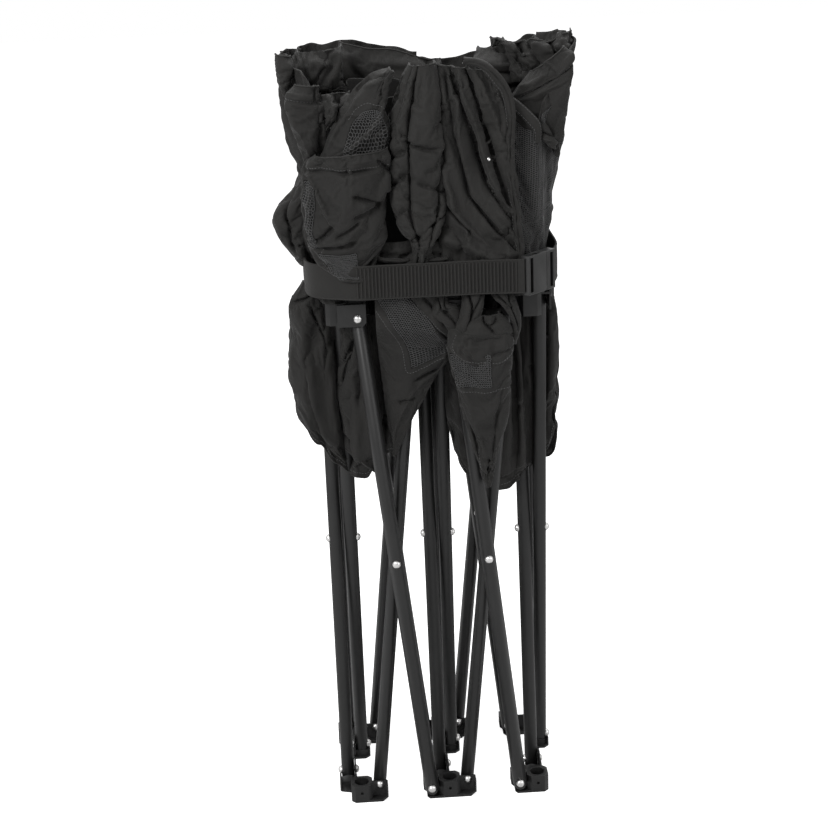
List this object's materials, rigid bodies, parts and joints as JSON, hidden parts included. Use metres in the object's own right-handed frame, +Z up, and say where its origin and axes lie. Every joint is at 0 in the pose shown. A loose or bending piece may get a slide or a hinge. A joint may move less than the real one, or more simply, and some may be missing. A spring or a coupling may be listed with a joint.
{
  "type": "folding camping loveseat",
  "caption": "Two-seat folding camp chair, folded and strapped: a scissor frame of steel tube on moulded feet, with hanging cloth.",
  "frame": {"origin": "underside of the front centre foot, on its post socket's axis", "axes": "+Z up, +X along the front row of feet, +Y to the rear"},
  "size_m": [0.3323, 0.2388, 0.905],
  "materials": {
    "frame": "satin black powder coat",
    "fitting": "fine moulded grain",
    "rivet": "zinc plated",
    "cloth": "woven polyester",
    "webbing": "ribbed webbing",
    "buckle": "moulded acetal"
  },
  "bodies": {
    "foot_front_centre": {"foot_front_centre": "fitting"},
    "bar_front_left_outward": {"bar_front_left_outward": "frame", "rivet_front_left": "rivet"},
    "bar_front_right_outward": {"bar_front_right_outward": "frame", "rivet_front_right": "rivet"},
    "bar_front_left_inward": {"bar_front_left_inward": "frame"},
    "bar_front_right_inward": {"bar_front_right_inward": "frame"},
    "foot_front_left": {"foot_front_left": "fitting"},
    "foot_front_right": {"foot_front_right": "fitting"},
    "bar_side_left_rearward": {"bar_side_left_rearward": "frame", "rivet_side_left": "rivet"},
    "bar_side_left_frontward": {"bar_side_left_frontward": "frame"},
    "foot_rear_left": {"foot_rear_left": "fitting", "post_rear_left": "frame", "cap_rear_left": "fitting"},
    "hub_front_left": {"hub_front_left": "fitting", "post_arm_left": "frame", "cup_pocket": "cloth"},
    "hub_rear_left": {"hub_rear_left": "fitting"},
    "bar_side_centre_rearward": {"bar_side_centre_rearward": "frame", "rivet_side_centre": "rivet"},
    "bar_side_centre_frontward": {"bar_side_centre_frontward": "frame"},
    "foot_rear_centre": {"foot_rear_centre": "fitting", "post_rear_centre": "frame", "cap_rear_centre": "fitting", "back_centre_folds": "cloth", "strap": "webbing"},
    "hub_front_centre": {"hub_front_centre": "fitting", "front_pouch": "cloth"},
    "hub_rear_centre": {"hub_rear_centre": "fitting"},
    "bar_side_right_rearward": {"bar_side_right_rearward": "frame", "rivet_side_right": "rivet"},
    "bar_side_right_frontward": {"bar_side_right_frontward": "frame"},
    "foot_rear_right": {"foot_rear_right": "fitting", "post_rear_right": "frame", "cap_rear_right": "fitting"},
    "hub_front_right": {"hub_front_right": "fitting", "post_arm_right": "frame"},
    "hub_rear_right": {"hub_rear_right": "fitting"},
    "bar_rear_left_outward": {"bar_rear_left_outward": "frame", "rivet_rear_left": "rivet"},
    "bar_rear_left_inward": {"bar_rear_left_inward": "frame"},
    "bar_rear_right_outward": {"bar_rear_right_outward": "frame", "rivet_rear_right": "rivet"},
    "bar_rear_right_inward": {"bar_rear_right_inward": "frame"},
    "seat_front": {"seat_front_centre": "cloth", "seat_front_fold": "cloth"},
    "seat_front_left": {"seat_front_left": "cloth"},
    "seat_front_right": {"seat_front_right": "cloth"},
    "seat_rear": {"seat_rear_centre": "cloth"},
    "seat_rear_left": {"seat_rear_left": "cloth"},
    "seat_rear_right": {"seat_rear_right": "cloth"},
    "back_left": {"back_left": "cloth"},
    "lower_back_left": {"lower_back_left": "cloth"},
    "arm_left": {"arm_left": "cloth"},
    "back_right": {"back_right": "cloth"},
    "lower_back_right": {"lower_back_right": "cloth"},
    "arm_right": {"arm_right": "cloth"},
    "buckle_socket": {"buckle_socket": "buckle"},
    "buckle_plug": {"buckle_plug": "buckle"}
  },
  "joints": [
    {"name": "fold", "type": "hinge", "parent": "foot_front_centre", "child": "bar_front_left_outward", "pos_m": [-0.0225, -0.0098, 0.017], "axis": [0, -1, 0], "range_deg": [0, 44], "deforming": ["back_left", "back_right", "lower_back_left", "lower_back_right", "arm_left", "arm_right", "back_centre_folds", "cup_pocket", "front_pouch", "seat_front_left", "seat_front_right", "seat_rear_left", "seat_rear_right", "seat_front_centre", "seat_rear_centre", "seat_front_fold", "strap"]},
    {"name": "front_right_outward_pivot", "type": "hinge", "parent": "foot_front_centre", "child": "bar_front_right_outward", "pos_m": [0.0225, 0.0093, 0.017], "axis": [0, 1, 0], "range_deg": [0, 44.01]},
    {"name": "front_left_crossing", "type": "hinge", "parent": "bar_front_left_outward", "child": "bar_front_left_inward", "pos_m": [-0.05386, 0, 0.31536], "axis": [0, 1, 0], "range_deg": [0, 88.01]},
    {"name": "front_right_crossing", "type": "hinge", "parent": "bar_front_right_outward", "child": "bar_front_right_inward", "pos_m": [0.05386, 0, 0.31536], "axis": [0, -1, 0], "range_deg": [0, 88.01]},
    {"name": "front_left_foot_pivot", "type": "hinge", "parent": "bar_front_left_inward", "child": "foot_front_left", "pos_m": [-0.08522, 0, 0.017], "axis": [0, -1, 0], "range_deg": [0, 44.01]},
    {"name": "front_right_foot_pivot", "type": "hinge", "parent": "bar_front_right_inward", "child": "foot_front_right", "pos_m": [0.08522, 0, 0.017], "axis": [0, 1, 0], "range_deg": [0, 44.01]},
    {"name": "side_left_front_foot_pivot", "type": "hinge", "parent": "foot_front_left", "child": "bar_side_left_rearward", "pos_m": [-0.11447, 0.041, 0.017], "axis": [-1, 0, 0], "range_deg": [0, 44.01]},
    {"name": "side_left_crossing", "type": "hinge", "parent": "bar_side_left_rearward", "child": "bar_side_left_frontward", "pos_m": [-0.11447, 0.07236, 0.31536], "axis": [1, 0, 0], "range_deg": [0, 88.01]},
    {"name": "side_left_rear_foot_pivot", "type": "hinge", "parent": "bar_side_left_frontward", "child": "foot_rear_left", "pos_m": [-0.11447, 0.10372, 0.017], "axis": [-1, 0, 0], "range_deg": [0, 44.01]},
    {"name": "side_left_front_hub_pivot", "type": "hinge", "parent": "bar_side_left_frontward", "child": "hub_front_left", "pos_m": [-0.11447, 0.041, 0.61371], "axis": [-1, 0, 0], "range_deg": [0, 44.01]},
    {"name": "side_left_rear_hub_pivot", "type": "hinge", "parent": "bar_side_left_rearward", "child": "hub_rear_left", "pos_m": [-0.11447, 0.10372, 0.61371], "axis": [1, 0, 0], "range_deg": [0, 44.01]},
    {"name": "side_centre_front_foot_pivot", "type": "hinge", "parent": "foot_front_centre", "child": "bar_side_centre_rearward", "pos_m": [0, 0.041, 0.017], "axis": [-1, 0, 0], "range_deg": [0, 44.01]},
    {"name": "side_centre_crossing", "type": "hinge", "parent": "bar_side_centre_rearward", "child": "bar_side_centre_frontward", "pos_m": [0, 0.07236, 0.31536], "axis": [1, 0, 0], "range_deg": [0, 88.01]},
    {"name": "side_centre_rear_foot_pivot", "type": "hinge", "parent": "bar_side_centre_frontward", "child": "foot_rear_centre", "pos_m": [0, 0.10372, 0.017], "axis": [-1, 0, 0], "range_deg": [0, 44.01]},
    {"name": "side_centre_front_hub_pivot", "type": "hinge", "parent": "bar_side_centre_frontward", "child": "hub_front_centre", "pos_m": [0, 0.041, 0.61371], "axis": [-1, 0, 0], "range_deg": [0, 44.01]},
    {"name": "side_centre_rear_hub_pivot", "type": "hinge", "parent": "bar_side_centre_rearward", "child": "hub_rear_centre", "pos_m": [0, 0.10372, 0.61371], "axis": [1, 0, 0], "range_deg": [0, 44.01]},
    {"name": "side_right_front_foot_pivot", "type": "hinge", "parent": "foot_front_right", "child": "bar_side_right_rearward", "pos_m": [0.11447, 0.041, 0.017], "axis": [-1, 0, 0], "range_deg": [0, 44.01]},
    {"name": "side_right_crossing", "type": "hinge", "parent": "bar_side_right_rearward", "child": "bar_side_right_frontward", "pos_m": [0.11447, 0.07236, 0.31536], "axis": [1, 0, 0], "range_deg": [0, 88.01]},
    {"name": "side_right_rear_foot_pivot", "type": "hinge", "parent": "bar_side_right_frontward", "child": "foot_rear_right", "pos_m": [0.11447, 0.10372, 0.017], "axis": [-1, 0, 0], "range_deg": [0, 44.01]},
    {"name": "side_right_front_hub_pivot", "type": "hinge", "parent": "bar_side_right_frontward", "child": "hub_front_right", "pos_m": [0.11447, 0.041, 0.61371], "axis": [-1, 0, 0], "range_deg": [0, 44.01]},
    {"name": "side_right_rear_hub_pivot", "type": "hinge", "parent": "bar_side_right_rearward", "child": "hub_rear_right", "pos_m": [0.11447, 0.10372, 0.61371], "axis": [1, 0, 0], "range_deg": [0, 44.01]},
    {"name": "rear_left_outward_pivot", "type": "hinge", "parent": "foot_rear_centre", "child": "bar_rear_left_outward", "pos_m": [-0.0225, 0.13542, 0.017], "axis": [0, -1, 0], "range_deg": [0, 44.01]},
    {"name": "rear_left_crossing", "type": "hinge", "parent": "bar_rear_left_outward", "child": "bar_rear_left_inward", "pos_m": [-0.05386, 0.14472, 0.31536], "axis": [0, 1, 0], "range_deg": [0, 88.01]},
    {"name": "rear_right_outward_pivot", "type": "hinge", "parent": "foot_rear_centre", "child": "bar_rear_right_outward", "pos_m": [0.0225, 0.15402, 0.017], "axis": [0, 1, 0], "range_deg": [0, 44.01]},
    {"name": "rear_right_crossing", "type": "hinge", "parent": "bar_rear_right_outward", "child": "bar_rear_right_inward", "pos_m": [0.05386, 0.14472, 0.31536], "axis": [0, -1, 0], "range_deg": [0, 88.01]},
    {"name": "seat_front_swing", "type": "hinge", "parent": "hub_front_centre", "child": "seat_front", "pos_m": [0, 0.029, 0.60421], "axis": [1, 0, 0], "range_deg": [0, 79.01]},
    {"name": "seat_front_left_spread", "type": "slide", "parent": "seat_front", "child": "seat_front_left", "axis": [-1, 0, 0], "range_m": [0, 0.3571]},
    {"name": "seat_front_right_spread", "type": "slide", "parent": "seat_front", "child": "seat_front_right", "axis": [1, 0, 0], "range_m": [0, 0.3721]},
    {"name": "seat_rear_swing", "type": "hinge", "parent": "hub_rear_centre", "child": "seat_rear", "pos_m": [0, 0.11572, 0.60421], "axis": [-1, 0, 0], "range_deg": [0, 79.01]},
    {"name": "seat_rear_left_spread", "type": "slide", "parent": "seat_rear", "child": "seat_rear_left", "axis": [-1, 0, 0], "range_m": [0, 0.3571]},
    {"name": "seat_rear_right_spread", "type": "slide", "parent": "seat_rear", "child": "seat_rear_right", "axis": [1, 0, 0], "range_m": [0, 0.3721]},
    {"name": "back_left_spread", "type": "slide", "parent": "foot_rear_centre", "child": "back_left", "axis": [-1, 0, 0], "range_m": [0, 0.3621]},
    {"name": "lower_back_left_spread", "type": "slide", "parent": "hub_rear_centre", "child": "lower_back_left", "axis": [-1, 0, 0], "range_m": [0, 0.3941]},
    {"name": "arm_left_spread", "type": "slide", "parent": "hub_front_left", "child": "arm_left", "axis": [0, 1, 0], "range_m": [0, 0.39701]},
    {"name": "back_right_spread", "type": "slide", "parent": "foot_rear_centre", "child": "back_right", "axis": [1, 0, 0], "range_m": [0, 0.3621]},
    {"name": "lower_back_right_spread", "type": "slide", "parent": "hub_rear_centre", "child": "lower_back_right", "axis": [1, 0, 0], "range_m": [0, 0.3941]},
    {"name": "arm_right_spread", "type": "slide", "parent": "hub_front_right", "child": "arm_right", "axis": [0, 1, 0], "range_m": [0, 0.39701]},
    {"name": "buckle_follow", "type": "slide", "parent": "foot_rear_centre", "child": "buckle_socket", "axis": [0, 1, 0], "range_m": [0, 0.13742]},
    {"name": "buckle_release", "type": "slide", "parent": "buckle_socket", "child": "buckle_plug", "axis": [0.7193, 0.6947, 0], "range_m": [0, 0.022]}
  ],
  "couplings": [
    {"joint": "front_right_outward_pivot", "follows": "fold", "ratio": 1},
    {"joint": "front_left_crossing", "follows": "fold", "ratio": 2},
    {"joint": "front_right_crossing", "follows": "fold", "ratio": 2},
    {"joint": "front_left_foot_pivot", "follows": "fold", "ratio": 1},
    {"joint": "front_right_foot_pivot", "follows": "fold", "ratio": 1},
    {"joint": "side_left_front_foot_pivot", "follows": "fold", "ratio": 1},
    {"joint": "side_left_crossing", "follows": "fold", "ratio": 2},
    {"joint": "side_left_rear_foot_pivot", "follows": "fold", "ratio": 1},
    {"joint": "side_left_front_hub_pivot", "follows": "fold", "ratio": 1},
    {"joint": "side_left_rear_hub_pivot", "follows": "fold", "ratio": 1},
    {"joint": "side_centre_front_foot_pivot", "follows": "fold", "ratio": 1},
    {"joint": "side_centre_crossing", "follows": "fold", "ratio": 2},
    {"joint": "side_centre_rear_foot_pivot", "follows": "fold", "ratio": 1},
    {"joint": "side_centre_front_hub_pivot", "follows": "fold", "ratio": 1},
    {"joint": "side_centre_rear_hub_pivot", "follows": "fold", "ratio": 1},
    {"joint": "side_right_front_foot_pivot", "follows": "fold", "ratio": 1},
    {"joint": "side_right_crossing", "follows": "fold", "ratio": 2},
    {"joint": "side_right_rear_foot_pivot", "follows": "fold", "ratio": 1},
    {"joint": "side_right_front_hub_pivot", "follows": "fold", "ratio": 1},
    {"joint": "side_right_rear_hub_pivot", "follows": "fold", "ratio": 1},
    {"joint": "rear_left_outward_pivot", "follows": "fold", "ratio": 1},
    {"joint": "rear_left_crossing", "follows": "fold", "ratio": 2},
    {"joint": "rear_right_outward_pivot", "follows": "fold", "ratio": 1},
    {"joint": "rear_right_crossing", "follows": "fold", "ratio": 2},
    {"joint": "seat_front_swing", "follows": "fold", "ratio": 1.7955},
    {"joint": "seat_front_left_spread", "follows": "fold", "m_per_rad": 0.46488},
    {"joint": "seat_front_right_spread", "follows": "fold", "m_per_rad": 0.48441},
    {"joint": "seat_rear_swing", "follows": "fold", "ratio": 1.7955},
    {"joint": "seat_rear_left_spread", "follows": "fold", "m_per_rad": 0.46488},
    {"joint": "seat_rear_right_spread", "follows": "fold", "m_per_rad": 0.48441},
    {"joint": "back_left_spread", "follows": "fold", "m_per_rad": 0.47139},
    {"joint": "lower_back_left_spread", "follows": "fold", "m_per_rad": 0.51306},
    {"joint": "arm_left_spread", "follows": "fold", "m_per_rad": 0.51685},
    {"joint": "back_right_spread", "follows": "fold", "m_per_rad": 0.47139},
    {"joint": "lower_back_right_spread", "follows": "fold", "m_per_rad": 0.51306},
    {"joint": "arm_right_spread", "follows": "fold", "m_per_rad": 0.51685},
    {"joint": "buckle_follow", "follows": "fold", "m_per_rad": 0.17881}
  ]
}
